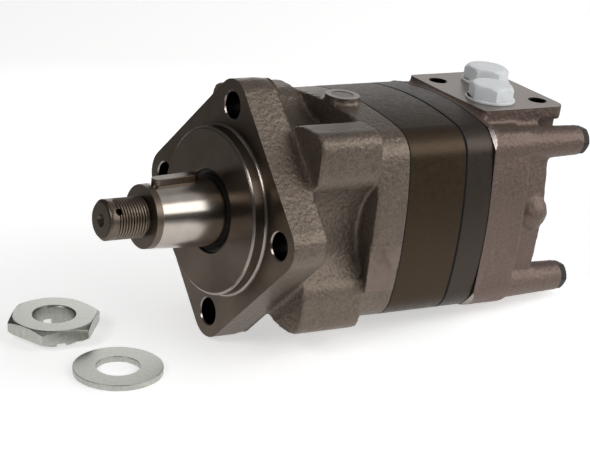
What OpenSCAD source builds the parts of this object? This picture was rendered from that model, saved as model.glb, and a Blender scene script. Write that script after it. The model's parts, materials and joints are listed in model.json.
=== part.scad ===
// Orbital hydraulic motor with a roller gear set, a disc valve and a tapered output shaft.
// The axis of rotation lies along X. X = 0 is the face that is bolted to the machine, the
// shaft points towards -X, and the two oil ports look up, towards +Z. All sizes are in mm.

/* [Stack] */
// Wall of the square section outside the ring rollers, at the middle of a side
ring_wall = 9.1; // [8.5:0.1:12]
// Radius of the shallow arc of each side
side_arc_r = 190; // [170:5:240]
// Corner radius of the section
corner_r = 16; // [14:0.5:17]
// Length of the shaft housing behind the mounting face
housing_l = 74; // [72:0.5:82]
// Width of the gear ring, star and rollers
ring_w = 35; // [31:0.5:44]
// Thickness of the channel plate
channel_w = 17; // [15:0.5:20]
// Length of the port housing up to the bolt seats
port_l = 59; // [57:0.5:64]

/* [Mounting flange] */
// Diameter of the centring pilot
pilot_d = 82.5; // [78:0.5:88]
// Height of the pilot in front of the mounting face
pilot_l = 7; // [6:0.5:9]
// Bolt circle diameter of the flange
flange_pcd = 106.4; // [104:0.2:112]
// Diameter of the flange holes
flange_hole_d = 13.5; // [11:0.5:14.5]
// Radius of the flange corners round the holes
flange_corner_r = 13; // [12:0.5:15]
// Thickness of the flange
flange_t = 20; // [17:0.5:22]

/* [Housing middle] */
// How far the near and far sides of the casting behind the flange lie inside the section
waist_step_y = 2; // [1:0.5:4]
// How far its top and bottom lie inside the section
waist_step_z = 1; // [0.5:0.5:4]
// Corner radius of the casting behind the flange
waist_corner_r = 8; // [6:0.5:10]
// Radius of the hollow along each side, which clears a bolt head
hollow_r = 35; // [32:0.5:38]
// Depth of that hollow
hollow_depth = 12; // [10:0.5:13]
// Radius that leads from the casting's side into the hollow
hollow_lead_r = 14; // [6:1:16]
// Length of the square block at the rear of the housing
block_l = 18; // [15:0.5:19]
// Diameter of the drain boss on top
drain_boss_d = 17.6; // [16:0.2:20]
// Height of the drain boss over the middle of the top side
drain_rise = 3.5; // [2:0.5:6]
// Diameter of the drain plug
drain_plug_d = 11.4; // [9:0.2:13]

/* [Output shaft] */
// Large diameter of the taper
taper_d = 35; // [34:0.5:36]
// Length of the taper
taper_l = 38.5; // [34:0.5:42]
// Fall in diameter per length of the taper, as one in this many
taper_ratio = 10; // [8:1:12]
// Outside diameter of the shaft thread
thread_d = 20; // [16:1:24]
// Length of the threaded end
thread_l = 22; // [18:0.5:26]
// Diameter of the split-pin hole through the thread
cotter_d = 3.6; // [3:0.2:4]
// Distance from the split-pin hole to the shaft end
cotter_inset = 5; // [4:0.5:7]
// Turn of the split-pin hole round the shaft, from the far side up
cotter_angle = 140; // [0:5:355]
// Width of the key
key_w = 6; // [5:0.5:8]
// Length of the key
key_l = 25; // [18:0.5:27]
// Height of the key
key_h = 6; // [5:0.5:8]

/* [Bearings] */
// Diameter of the front journal
front_journal_d = 40; // [38:0.5:41]
// Width of the front bearing
front_bearing_w = 16; // [13:0.5:16.5]
// Diameter of the rear journal
rear_journal_d = 50; // [49:0.5:51]
// Width of the rear bearing
rear_bearing_w = 18; // [15:0.5:19]
// Diameter of the bearing rollers
needle_d = 3.5; // [3:0.1:4]
// Wall of each bearing cup
cup_wall = 2.4; // [2:0.1:2.8]
// Diameter of the thrust rollers
thrust_needle_d = 2; // [1.6:0.1:2.4]
// Thickness of the thrust washer
thrust_washer_t = 1.5; // [1:0.1:2]

/* [Gear set] */
// Diameter of the circle through the roller centres
roller_pcd = 69; // [68:0.5:71]
// Diameter of a ring roller
roller_d = 16.8; // [16:0.1:17]
// Offset of the star from the motor axis
ecc = 3.1; // [2.8:0.05:3.2]
// Gap between the star's lobes and the gear ring's bore
lobe_gap = 0.35; // [0.25:0.05:1]
// Thickness of the wear plate in front of the gear set
wear_plate_t = 4; // [3:0.5:5]

/* [Drive splines] */
// Bore over the tips of the internal teeth
spline_bore_d = 23.2; // [23:0.1:24]
// Diameter over the slots of the internal splines
spline_root_d = 29; // [28.6:0.1:30]
// Width of a spline slot
spline_slot_w = 3.3; // [3.2:0.05:3.5]
// Thickness of a crowned tooth at its middle
crown_tooth_w = 2.9; // [2.6:0.05:2.95]
// Length of the crowned teeth of the main link
drive_crown_l = 12; // [10:0.5:12]
// Length of the crowned teeth of the valve link
valve_crown_l = 9; // [8:0.5:9]
// Diameter of the main link between its heads
drive_neck_d = 18; // [15:0.5:19]
// Diameter of the valve link between its heads
valve_neck_d = 15; // [12:0.5:17]

/* [Valve] */
// Outside diameter of the disc valve
valve_d = 58; // [56:0.5:59]
// Thickness of the disc valve
valve_t = 12; // [10.5:0.5:12.5]
// Radius at which the valve windows lie
window_radius = 22; // [21:0.5:22.5]
// Diameter of a valve window
window_d = 5.2; // [4.4:0.2:5.4]
// Diameter of the balance plate's tail
balance_tail_d = 49; // [46:0.5:51]
// Length of the balance plate
balance_l = 13; // [11:0.5:14]

/* [Ports] */
// Height of the port face over the middle of the top side
port_rise = 0.8; // [0.2:0.2:5]
// Thickness of the port plate
plate_t = 7; // [5:0.5:8]
// Length of the port plate along the motor
plate_l = 53; // [50:0.5:55]
// Width of the port plate
plate_w = 65.2; // [62:0.2:70]
// Radius of the port plate's front corners
plate_front_r = 1.5; // [1:0.5:6]
// Radius of its rear corners
plate_rear_r = 6.5; // [5:0.5:9]
// Distance between the ports along the motor
port_pitch_x = 19; // [18:0.5:21]
// Distance between the ports across the motor
port_pitch_y = 28.6; // [27:0.2:30]
// Diameter of a port at its thread
port_d = 20.6; // [18:0.2:21]
// Depth of a port
port_depth = 16; // [13:0.5:17]
// Distance between the two plate threads along the motor
tap_pitch_x = 33.5; // [32:0.5:35]
// Distance between the two plate threads across the motor
tap_pitch_y = 41; // [39:0.5:43]
// Diameter of a plate thread
tap_d = 8.6; // [7:0.2:9]
// Depth of a plate thread
tap_depth = 13; // [10:0.5:15]
// Width over the flats of the port plug's head
plug_hex_w = 20.6; // [19:0.2:22]
// Height of the port plug's head
plug_head_h = 7; // [6:0.1:10]
// Diameter of the port plug's flange
plug_flange_d = 25.4; // [24:0.2:26.6]

/* [Fasteners] */
// Wall between the joint seals' grooves and the holes of the corner bolts
bolt_web = 2.8; // [2.2:0.1:3.2]
// Turn of the corner bolts round the axis, from the sides up
bolt_angle = 42.6; // [42:0.1:44]
// Thread diameter of the corner bolts
bolt_d = 8; // [7:0.5:9]
// Width over the flats of the bolt heads
bolt_hex_w = 13; // [12:0.5:14]
// Height of the bolt heads
bolt_head_h = 5; // [4:0.2:6]
// Diameter of the bolt bosses at their ends
boss_d = 15.6; // [15:0.2:18]
// Width over the flats of the shaft nut
nut_hex_w = 41; // [36:0.5:44]
// Thickness of the nut's hexagon
nut_hex_t = 7; // [6:0.25:9]
// Diameter of the nut's slotted crown
nut_crown_d = 28; // [26:0.5:30]
// Height of the nut's slotted crown
nut_crown_h = 4.5; // [3:0.25:6]
// Width of the slots in the crown
nut_slot_w = 5; // [4:0.25:6]
// Outside diameter of the shaft washer
washer_d = 43.8; // [37:0.2:46]
// Hole of the shaft washer
washer_hole_d = 21.2; // [21:0.2:23]
// Thickness of the shaft washer
washer_t = 3; // [2.5:0.25:4]

/* [Hidden] */
$fn = 96;

// Number of ring rollers; the star has one lobe fewer
ring_n = 7;
star_n = ring_n - 1;
// Number of teeth of the drive splines
spline_n = 12;
// Overlap of cutting shapes past the faces they cut
over = 1;

// Clearances
running = 0.05;
seat = 0.02;
bolt_gap = 0.3;

// Stations along the axis
x_ring = housing_l;
x_channel = x_ring + ring_w;
x_valve = x_channel + channel_w;
x_end = x_valve + port_l;
x_block = housing_l - block_l;

// Radii of the output shaft, its bearings and the bores that hold them
land_r = taper_d / 2;
front_race_r = front_journal_d / 2 + needle_d + 2 * running;
front_seat_r = front_race_r + cup_wall;
rear_race_r = rear_journal_d / 2 + needle_d + 2 * running;
rear_seat_r = rear_race_r + cup_wall;
collar_seat_r = rear_seat_r - 1;
collar_r = collar_seat_r - 1.5;
shaft_seal_r = front_seat_r - 2;
dust_seal_r = land_r + 3.2;

// Stations of the seals, the bearings and the shaft's shoulders
taper_x = -6;
dust_seat_depth = 5.5;
dust_seal_w = 4;
shaft_seal_x = 2;
shaft_seal_w = 8;
front_bearing_x = shaft_seal_x + shaft_seal_w + 2;
thrust_x = front_bearing_x + front_bearing_w;
collar_x = thrust_x + thrust_washer_t + thrust_needle_d + 2 * running;
collar_t = 4;
rear_bearing_x = housing_l - wear_plate_t - 6 - rear_bearing_w;
shaft_end_x = rear_bearing_x + rear_bearing_w + 2;
thread_x = taper_x - taper_l - thread_l;
taper_small_r = land_r - taper_l / taper_ratio / 2;
needle_n = 18;
thrust_n = 20;

// Places of the drive links
drive_front_x = shaft_end_x - 20;
drive_rear_x = x_ring + 10.5;
valve_front_x = x_channel - 9;
valve_rear_x = x_valve + 6;
drive_tilt = atan(ecc / (drive_rear_x - drive_front_x));
valve_tilt = atan(ecc / (valve_rear_x - valve_front_x));
spline_depth = drive_crown_l / 2 + 2;
wear_hole_r = 16;
channel_hole_r = 16.5;
crown_tip_r = spline_root_d / 2 - 0.6;
crown_core_r = spline_bore_d / 2 - 0.8;
crown_gap = 0.05;
crown_lens_r = (spline_slot_w - crown_tooth_w - 2 * crown_gap) / pow(tan(drive_tilt), 2);
valve_lens_r = (spline_slot_w - crown_tooth_w - 2 * crown_gap) / pow(tan(valve_tilt), 2);

// The section of the stack
section_r = roller_pcd / 2 + roller_d / 2 + ring_wall;
waist_w = 2 * (section_r - waist_step_y);
waist_h = 2 * (section_r - waist_step_z);
drain_face_z = section_r + drain_rise;
wear_plate_r = roller_pcd / 2 + roller_d / 2 + 1.6;
ring_bore_r = roller_pcd / 2 - roller_d / 2 + 2 * ecc + lobe_gap;
seal_section_r = 0.95;
seam_seal_r = wear_plate_r + 1.2 + seal_section_r;
seam_groove_depth = 2 * seal_section_r + 0.1;
seam_groove_half = seal_section_r + 0.1;
bolt_circle_r = seam_seal_r + seam_groove_half + bolt_web + (bolt_d + bolt_gap) / 2;
bolt_y = bolt_circle_r * cos(bolt_angle);
bolt_z = bolt_circle_r * sin(bolt_angle);

// The port housing
port_corner_r = 8;
port_face_z = section_r + port_rise;
port_front_l = 24;
port_core_w = 2 * section_r - 9;
port_core_l = 39.5;
port_lip_l = 4;
plate_x = x_valve + port_lip_l;
plate_mid_x = plate_x + plate_l / 2;
plate_bottom_z = port_face_z - plate_t;
block_half = 27;
boss_root_d = 19;
valve_bore_r = valve_d / 2 + 2;
valve_bore_l = valve_t + 6.9;
balance_x = x_valve + valve_t + 2 * running;
balance_front_t = 5;
spring_h = 5;
balance_bore_l = valve_t + balance_l + spring_h + 4 * running;
balance_hole_r = 13;

// The pad on the housing's rear block and the swell on the port housing, both on the near side
pad_z = -18.5;
pad_h = 20;
swell_r = 9.5;
swell_h = 13;
swell_x = x_valve + port_core_l - 6.5;
swell_z = 1;
swell_sunk = 6;

// How far the front and the rear port plug happen to be turned
plug_turns = [6.5, 26.5];
plug_chamfer = 1.2;

front_pitch_r = front_journal_d / 2 + running + needle_d / 2;
rear_pitch_r = rear_journal_d / 2 + running + needle_d / 2;
thrust_in_r = front_journal_d / 2 + 0.6;
thrust_out_r = collar_seat_r - 0.2;
thrust_mid_x = collar_x - running - thrust_needle_d / 2;
spacer_t = 2.5;
spacer_x = drive_rear_x + drive_crown_l / 2 + 1.2;
balance_seal_x = balance_x + balance_front_t + 4.5;
bolt_tip_x = x_ring - 3 * bolt_d;
drain_x = x_ring - 9.5;
drain_seat_z = drain_face_z - 7;
drain_bore_d = 6;

// The loose pieces lie on the ground that the flange corner and the port housing touch
flange_reach = flange_pcd / 2 + flange_corner_r;
ground_tilt = atan((flange_reach - section_r) / (x_valve + port_front_l - flange_t));
ground_x = flange_t;
ground_z = -flange_reach;
washer_place = [-54.8, -10.9];
nut_place = [-62, 41];
nut_turn = 48.3;

// Turns the Z axis of what follows onto the motor axis: local x, y, z become Y, Z, X
module along_x(x = 0) {
    translate([x, 0, 0])
        rotate([90, 0, 90])
            children();
}

// Plain round bar or bore along the motor axis
module bar(x0, x1, r, r_end = undef) {
    along_x(x0)
        cylinder(h = x1 - x0, r1 = r, r2 = is_undef(r_end) ? r : r_end);
}

module ring(x0, x1, r_in, r_out) {
    difference() {
        bar(x0, x1, r_out);
        bar(x0 - over, x1 + over, r_in);
    }
}

module four_corners(y, z) {
    for (sy = [-1, 1], sz = [-1, 1])
        translate([0, sy * y, sz * z])
            children();
}

// Where the corner circle of a square with arched sides has its centre
function corner_centre(half, arc, r) =
    (half - arc + sqrt(2 * pow(arc - r, 2) - pow(arc - half, 2))) / 2;

// Square with arched sides and round corners, all of true arcs
module arched_square(half, arc, r) {
    c = corner_centre(half, arc, r);
    tangent_x = half - arc + arc * (c + arc - half) / (arc - r);
    tangent_y = arc * c / (arc - r);
    chord = (tangent_x + tangent_y) / sqrt(2);
    intersection() {
        translate([half - arc, 0]) circle(r = arc, $fn = 360);
        translate([arc - half, 0]) circle(r = arc, $fn = 360);
        translate([0, half - arc]) circle(r = arc, $fn = 360);
        translate([0, arc - half]) circle(r = arc, $fn = 360);
        rotate(45)
            square(2 * chord, center = true);
    }
    for (sx = [-1, 1], sy = [-1, 1])
        translate([sx * c, sy * c])
            circle(r = r);
}

// Rectangle with round corners, all of true arcs
module round_rect(w, h, r) {
    square([w - 2 * r, h], center = true);
    square([w, h - 2 * r], center = true);
    for (sx = [-1, 1], sy = [-1, 1])
        translate([sx * (w / 2 - r), sy * (h / 2 - r)])
            circle(r = r);
}

module stack_plate(x0, x1) {
    along_x(x0)
        linear_extrude(x1 - x0)
            arched_square(section_r, side_arc_r, corner_r);
}

module bolt_holes(x0, x1, d = bolt_d + bolt_gap) {
    four_corners(bolt_y, bolt_z)
        bar(x0, x1, d / 2);
}

// O-ring lying in the groove of a joint face at x
module seam_seal(x) {
    color([0.06, 0.06, 0.06])
        along_x(x + seal_section_r)
            rotate_extrude()
                translate([seam_seal_r, 0])
                    circle(r = seal_section_r, $fn = 32);
}

// Groove cut into the part behind a joint face at x, or in front of it
module seam_groove(x, depth) {
    ring(min(x - over, x + depth), max(x + over, x + depth),
        seam_seal_r - seam_groove_half, seam_seal_r + seam_groove_half);
}

// Internal splines from x0 to x1, as a cutting shape
module spline_cut(x0, x1) {
    bar(x0, x1, spline_bore_d / 2);
    along_x(x0)
        for (k = [0:spline_n - 1])
            rotate(360 * k / spline_n)
                translate([0, -spline_slot_w / 2, 0])
                    cube([spline_root_d / 2, spline_slot_w, x1 - x0]);
}

// Head of a drive link: a core with teeth whose flanks are arcs, so that it can tilt in the splines
module crowned_head(len, lens_r) {
    translate([0, 0, -len / 2])
        cylinder(h = len, r = crown_core_r);
    for (k = [0:spline_n - 1])
        rotate(360 * k / spline_n)
            translate([crown_core_r - 1, 0, 0])
                rotate([0, 90, 0])
                    linear_extrude(crown_tip_r - crown_core_r + 1)
                        intersection() {
                            translate([0, crown_tooth_w / 2 - lens_r])
                                circle(r = lens_r, $fn = 180);
                            translate([0, lens_r - crown_tooth_w / 2])
                                circle(r = lens_r, $fn = 180);
                            square([len, crown_tooth_w + over], center = true);
                        }
}

// Bearing rollers round the axis from x0 to x1
module needles(x0, x1, pitch_r, d, n) {
    along_x(x0)
        for (k = [0:n - 1])
            rotate(360 * k / n)
                translate([pitch_r, 0, 0])
                    cylinder(h = x1 - x0, d = d, $fn = 32);
}

module cup(x, w, r_in, r_out) {
    color([0.55, 0.56, 0.58])
        difference() {
            bar(x, x + w, r_out);
            bar(x - over, x + w + over, r_in);
            bar(x - 0.01, x + 0.8, r_in + 0.8, r_in);
            bar(x + w - 0.8, x + w + 0.01, r_in, r_in + 0.8);
        }
}

module cage(x, w, pitch_r) {
    color([0.62, 0.52, 0.28])
        difference() {
            ring(x + 0.5, x + w - 0.5, pitch_r - needle_d / 4, pitch_r + needle_d / 4);
            needles(x + 2, x + w - 2, pitch_r, needle_d + 0.2, needle_n);
        }
}

module bearing_rollers(x, w, pitch_r) {
    color([0.75, 0.76, 0.78])
        needles(x + 2.1, x + w - 2.1, pitch_r, needle_d, needle_n);
}

// Flange outline: straight sides between four round corners
module flange_outline() {
    p = flange_pcd / 2;
    a = flange_corner_r / sqrt(2);
    polygon([[p + a, a], [a, p + a], [-a, p + a], [-p - a, a],
        [-p - a, -a], [-a, -p - a], [a, -p - a], [p + a, -a]]);
    for (k = [0:3])
        rotate(90 * k)
            translate([p, 0])
                circle(r = flange_corner_r);
}

// Hollow of one side that lies at a distance of side from the axis, with a round lead from each edge
module side_hollow(side) {
    centre = side - hollow_depth + hollow_r;
    reach = hollow_r + hollow_lead_r;
    lead_y = sqrt(pow(reach, 2) - pow(reach - hollow_depth, 2));
    meet_x = centre - hollow_r * (reach - hollow_depth) / reach;
    difference() {
        union() {
            translate([centre, 0])
                circle(r = hollow_r, $fn = 180);
            translate([meet_x, -lead_y])
                square([side + over - meet_x, 2 * lead_y]);
        }
        for (s = [-1, 1])
            translate([side - hollow_lead_r, s * lead_y])
                circle(r = hollow_lead_r);
    }
}

// Hollows along the four sides of the casting, between the flange and the rear block
module side_hollows() {
    for (k = [0:3])
        along_x(flange_t - over)
            rotate(90 * k)
                linear_extrude(x_block - flange_t + over)
                    side_hollow(k % 2 == 0 ? waist_w / 2 : waist_h / 2);
}

module drain_boss_bar(d, z0, z1) {
    translate([drain_x, 0, z0])
        cylinder(h = z1 - z0, d = d);
}

module shaft_housing() {
    color([0.36, 0.33, 0.30])
        difference() {
            union() {
                bar(-pilot_l + 0.8, 0, pilot_d / 2);
                bar(-pilot_l, -pilot_l + 0.8, pilot_d / 2 - 0.8, pilot_d / 2);
                along_x()
                    linear_extrude(flange_t)
                        flange_outline();
                difference() {
                    along_x(flange_t)
                        linear_extrude(x_block - flange_t)
                            round_rect(waist_w, waist_h, waist_corner_r);
                    side_hollows();
                }
                stack_plate(x_block, x_ring);
                drain_boss_bar(drain_boss_d, rear_seat_r + 2, drain_face_z);
                near_pad();
            }
            bar(-pilot_l - over, -pilot_l + dust_seat_depth, dust_seal_r + seat);
            bar(-pilot_l, shaft_seal_x + over, land_r + 1);
            bar(shaft_seal_x, front_bearing_x, shaft_seal_r + seat);
            bar(front_bearing_x - 0.01, thrust_x, front_seat_r + seat);
            bar(thrust_x - 0.01, rear_bearing_x, collar_seat_r + seat);
            bar(rear_bearing_x - 0.01, x_ring + over, rear_seat_r + seat);
            bar(x_ring - wear_plate_t, x_ring + over, wear_plate_r + seat);
            seam_groove(x_ring, -seam_groove_depth);
            bolt_holes(bolt_tip_x - 3, x_ring + over, bolt_d + 2 * running);
            along_x(-over)
                for (k = [0:3])
                    rotate(90 * k)
                        translate([flange_pcd / 2, 0, 0])
                            cylinder(h = flange_t + 2 * over, d = flange_hole_d);
            drain_boss_bar(drain_plug_d + 2 * seat, drain_seat_z, drain_face_z + over);
            drain_boss_bar(drain_bore_d, 0, drain_seat_z + over);
        }
}

// Machined pad low on the near side of the rear block
module near_pad() {
    translate([x_block, -section_r - 0.1, pad_z - pad_h / 2])
        cube([block_l - 1.5, 8, pad_h]);
}

module dust_seal() {
    color([0.05, 0.05, 0.05])
        difference() {
            bar(-pilot_l + dust_seat_depth - dust_seal_w, -pilot_l + dust_seat_depth, dust_seal_r);
            bar(-pilot_l, 0, land_r + running);
            bar(-pilot_l + dust_seat_depth - dust_seal_w - 0.01, -pilot_l + dust_seat_depth - 2.5,
                land_r + 2, land_r + running);
        }
}

module shaft_seal() {
    color([0.08, 0.08, 0.09])
        difference() {
            bar(shaft_seal_x, shaft_seal_x + shaft_seal_w, shaft_seal_r);
            bar(shaft_seal_x - over, shaft_seal_x + shaft_seal_w + over, land_r + running);
            ring(shaft_seal_x + 2.5, shaft_seal_x + shaft_seal_w + over, land_r + 1.6, shaft_seal_r - 2);
        }
}

module front_bearing_cup() {
    cup(front_bearing_x, front_bearing_w, front_race_r, front_seat_r);
}

module front_bearing_cage() {
    cage(front_bearing_x, front_bearing_w, front_pitch_r);
}

module front_bearing_rollers() {
    bearing_rollers(front_bearing_x, front_bearing_w, front_pitch_r);
}

module thrust_washer() {
    color([0.6, 0.6, 0.62])
        ring(thrust_x, thrust_x + thrust_washer_t, thrust_in_r, thrust_out_r);
}

// Thrust rollers lie like spokes, half way between the washer and the shaft's collar
module thrust_spokes(d, r0, r1) {
    translate([thrust_mid_x, 0, 0])
        for (k = [0:thrust_n - 1])
            rotate([360 * k / thrust_n, 0, 0])
                translate([0, 0, r0])
                    cylinder(h = r1 - r0, d = d, $fn = 32);
}

module thrust_cage() {
    color([0.62, 0.52, 0.28])
        difference() {
            ring(thrust_mid_x - thrust_needle_d / 4, thrust_mid_x + thrust_needle_d / 4,
                thrust_in_r, thrust_out_r);
            thrust_spokes(thrust_needle_d + 0.2, thrust_in_r + 1.3, thrust_out_r - 1);
        }
}

module thrust_rollers() {
    color([0.75, 0.76, 0.78])
        thrust_spokes(thrust_needle_d, thrust_in_r + 1.4, thrust_out_r - 1.1);
}

module rear_bearing_cup() {
    cup(rear_bearing_x, rear_bearing_w, rear_race_r, rear_seat_r);
}

module rear_bearing_cage() {
    cage(rear_bearing_x, rear_bearing_w, rear_pitch_r);
}

module rear_bearing_rollers() {
    bearing_rollers(rear_bearing_x, rear_bearing_w, rear_pitch_r);
}

module output_shaft() {
    color([0.62, 0.61, 0.60])
        difference() {
            union() {
                bar(thread_x, thread_x + 1.5, thread_d / 2 - 1.5, thread_d / 2);
                bar(thread_x + 1.5, thread_x + thread_l - 1.2, thread_d / 2);
                bar(thread_x + thread_l - 1.2, thread_x + thread_l, thread_d / 2 - 1);
                bar(thread_x + thread_l, taper_x, taper_small_r, land_r);
                bar(taper_x, front_bearing_x - 1, land_r);
                bar(front_bearing_x - 1, collar_x, front_journal_d / 2);
                bar(collar_x, collar_x + collar_t, collar_r);
                bar(collar_x + collar_t, shaft_end_x, rear_journal_d / 2);
            }
            key_slot(seat, taper_small_r);
            bar(thread_x - 0.01, thread_x + 5, 3.2, 1.2);
            bar(thread_x, thread_x + 9, 1.2);
            translate([thread_x + cotter_inset, 0, 0])
                rotate([cotter_angle, 0, 0])
                    rotate([90, 0, 0])
                        cylinder(h = 2 * thread_d, d = cotter_d, center = true);
            spline_cut(drive_front_x - spline_depth, drive_front_x + spline_depth);
            bar(drive_front_x - spline_depth - 3, drive_front_x - spline_depth + 0.5,
                spline_root_d / 2 + 0.3);
            bar(drive_front_x + spline_depth - 0.01, shaft_end_x + over, spline_root_d / 2 + 0.7);
        }
}

// The key's block, grown by a gap; its top is flat along the taper
module key_slot(gap, base_r) {
    key_x0 = taper_x - taper_l / 2 - 2.5 - key_l / 2;
    key_z0 = base_r + key_l / taper_ratio / 4 - key_h * 0.55;
    translate([key_x0 - gap, 0, key_z0])
        rotate([0, -atan(0.5 / taper_ratio), 0])
            linear_extrude(key_h + (gap > 0 ? over * 4 : 0))
                translate([(key_l + 2 * gap) / 2, 0])
                    square([key_l + 2 * gap - key_w, key_w + 2 * gap], center = true);
    for (end = [0, 1])
        translate([key_x0 - gap, 0, key_z0])
            rotate([0, -atan(0.5 / taper_ratio), 0])
                translate([key_w / 2 + gap + end * (key_l - key_w), 0, 0])
                    cylinder(h = key_h + (gap > 0 ? over * 4 : 0), d = key_w + 2 * gap);
}

module shaft_key() {
    color([0.45, 0.42, 0.38])
        key_slot(0, taper_small_r);
}

module wear_plate() {
    color([0.5, 0.48, 0.45])
        ring(x_ring - wear_plate_t, x_ring, wear_hole_r, wear_plate_r);
}

module link(front, rear, tilt, neck_d, crown_l, lens_r) {
    span = norm(rear - front);
    translate(front)
        rotate([90, 0, 90])
            rotate([-tilt, 0, 0]) {
                crowned_head(crown_l, lens_r);
                translate([0, 0, span])
                    crowned_head(crown_l, lens_r);
                cylinder(h = span, d = neck_d);
            }
}

module drive_link() {
    color([0.42, 0.40, 0.38])
        link([drive_front_x, 0, 0], [drive_rear_x, 0, ecc], drive_tilt,
            drive_neck_d, drive_crown_l, crown_lens_r);
}

module valve_link() {
    color([0.42, 0.40, 0.38])
        link([valve_front_x, 0, ecc], [valve_rear_x, 0, 0], -valve_tilt,
            valve_neck_d, valve_crown_l, valve_lens_r);
}

module roller_places() {
    for (k = [0:ring_n - 1])
        rotate(90 + 360 * k / ring_n)
            translate([roller_pcd / 2, 0])
                children();
}

module gear_ring() {
    color([0.24, 0.20, 0.15])
        along_x(x_ring)
            linear_extrude(ring_w)
                difference() {
                    arched_square(section_r, side_arc_r, corner_r);
                    circle(r = ring_bore_r, $fn = 180);
                    roller_places()
                        circle(d = roller_d + 2 * running);
                    for (sy = [-1, 1], sz = [-1, 1])
                        translate([sy * bolt_y, sz * bolt_z])
                            circle(d = bolt_d + bolt_gap);
                }
}

module ring_roller(k) {
    color([0.7, 0.7, 0.72])
        along_x(x_ring + running)
            rotate(90 + 360 * (k - 1) / ring_n)
                translate([roller_pcd / 2, 0, 0])
                    cylinder(h = ring_w - 2 * running, d = roller_d);
}

// Path of a roller's centre as the star sees it, and the star's flank one roller radius inside it
function roller_path(u) = let (r = roller_pcd / 2)
    [r * cos(u) - ecc * cos(ring_n * u), r * sin(u) - ecc * sin(ring_n * u)];
function path_way(u) = let (r = roller_pcd / 2, e = ring_n * ecc)
    [-r * sin(u) + e * sin(ring_n * u), r * cos(u) - e * cos(ring_n * u)];
function star_point(u) = let (way = path_way(u))
    roller_path(u) - (roller_d / 2 + running) * [way.y, -way.x] / norm(way);

// Spreads the star's points evenly, as its hollows are swept fast and its tips slowly
function star_angle(t) = t - 45 * sin(star_n * t) / star_n;

module star_gear() {
    steps = 48 * star_n;
    color([0.66, 0.66, 0.68])
        translate([0, 0, ecc])
            difference() {
                along_x(x_ring + running)
                    rotate(90)
                        linear_extrude(ring_w - 2 * running)
                            polygon([for (i = [0:steps - 1]) star_point(star_angle(360 * i / steps))]);
                spline_cut(x_ring - over, x_channel + over);
            }
}

module drive_spacer() {
    color([0.6, 0.55, 0.42])
        translate([0, 0, ecc])
            bar(spacer_x, spacer_x + spacer_t, spline_bore_d / 2 - 0.3);
}

module channel_plate() {
    outer_r = ring_bore_r - 3;
    color([0.26, 0.23, 0.20])
        difference() {
            stack_plate(x_channel, x_valve);
            bar(x_channel - over, x_valve + over, channel_hole_r);
            bolt_holes(x_channel - over, x_valve + over);
            seam_groove(x_channel, seam_groove_depth);
            for (k = [0:ring_n - 1])
                rotate([180 / ring_n + 360 * k / ring_n, 0, 0])
                    translate([x_channel, 0, outer_r])
                        rotate([0, 90 + atan((outer_r - window_radius) / channel_w), 0])
                            translate([0, 0, -3])
                                cylinder(h = 2 * channel_w, d = window_d, $fn = 32);
        }
}

module disc_valve() {
    x = x_valve + running;
    color([0.58, 0.57, 0.56])
        difference() {
            bar(x, x + valve_t, valve_d / 2);
            spline_cut(x - over, x + valve_t + over);
            for (k = [0:star_n - 1]) {
                rotate([360 * k / star_n, 0, 0])
                    translate([0, 0, window_radius])
                        bar(x - over, x + valve_t + over, window_d / 2);
                rotate([360 * (k + 0.5) / star_n, 0, 0])
                    translate([0, 0, window_radius])
                        bar(x - over, x + valve_t / 2, window_d / 2);
                rotate([360 * (k + 0.5) / star_n, 0, 0])
                    translate([x + valve_t / 2 - window_d / 2, 0, window_radius])
                        cylinder(h = valve_d, d = window_d - 1, $fn = 32);
            }
        }
}

module balance_plate() {
    color([0.5, 0.48, 0.46])
        difference() {
            union() {
                bar(balance_x, balance_x + balance_front_t, valve_d / 2);
                bar(balance_x, balance_x + balance_l, balance_tail_d / 2);
            }
            bar(balance_x - over, balance_x + balance_l + over, balance_hole_r);
            ring(balance_seal_x - seal_section_r - 0.1, balance_seal_x + seal_section_r + 0.1,
                balance_tail_d / 2 - 2 * seal_section_r, balance_tail_d / 2 + over);
        }
}

module balance_seal() {
    color([0.06, 0.06, 0.06])
        along_x(balance_seal_x)
            rotate_extrude()
                translate([balance_tail_d / 2 + running - seal_section_r, 0])
                    circle(r = seal_section_r, $fn = 32);
}

// Two dished springs, back to back, that press the balance plate on the disc valve
module balance_spring() {
    t = 1.2;
    x0 = balance_x + balance_l;
    mid = spring_h / 2;
    r0 = balance_hole_r + 2;
    r1 = balance_tail_d / 2 - 1.5;
    color([0.5, 0.5, 0.52])
        along_x(x0) {
            rotate_extrude()
                polygon([[r0, running], [r0, running + t], [r1, mid], [r1, mid - t]]);
            rotate_extrude()
                polygon([[r0, spring_h - t], [r0, spring_h],
                    [r1, mid + t + running], [r1, mid + running]]);
        }
}

module port_places() {
    for (s = [-1, 1])
        translate([plate_mid_x + s * port_pitch_x / 2, s * port_pitch_y / 2, 0])
            children();
}

module port_body() {
    along_x(x_valve)
        linear_extrude(port_front_l)
            arched_square(section_r, side_arc_r, port_corner_r);
    along_x(x_valve)
        linear_extrude(port_core_l)
            arched_square(port_core_w / 2, side_arc_r, corner_r);
    bar(x_valve, x_valve + port_core_l + 6, port_core_w / 2 - 10);
}

// Outline of the port plate, nearly sharp in front and round behind
module plate_outline() {
    translate([-plate_l / 4, 0])
        round_rect(plate_l / 2, plate_w, plate_front_r);
    translate([plate_l / 8, 0])
        round_rect(plate_l * 3 / 4, plate_w, plate_rear_r);
}

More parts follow.
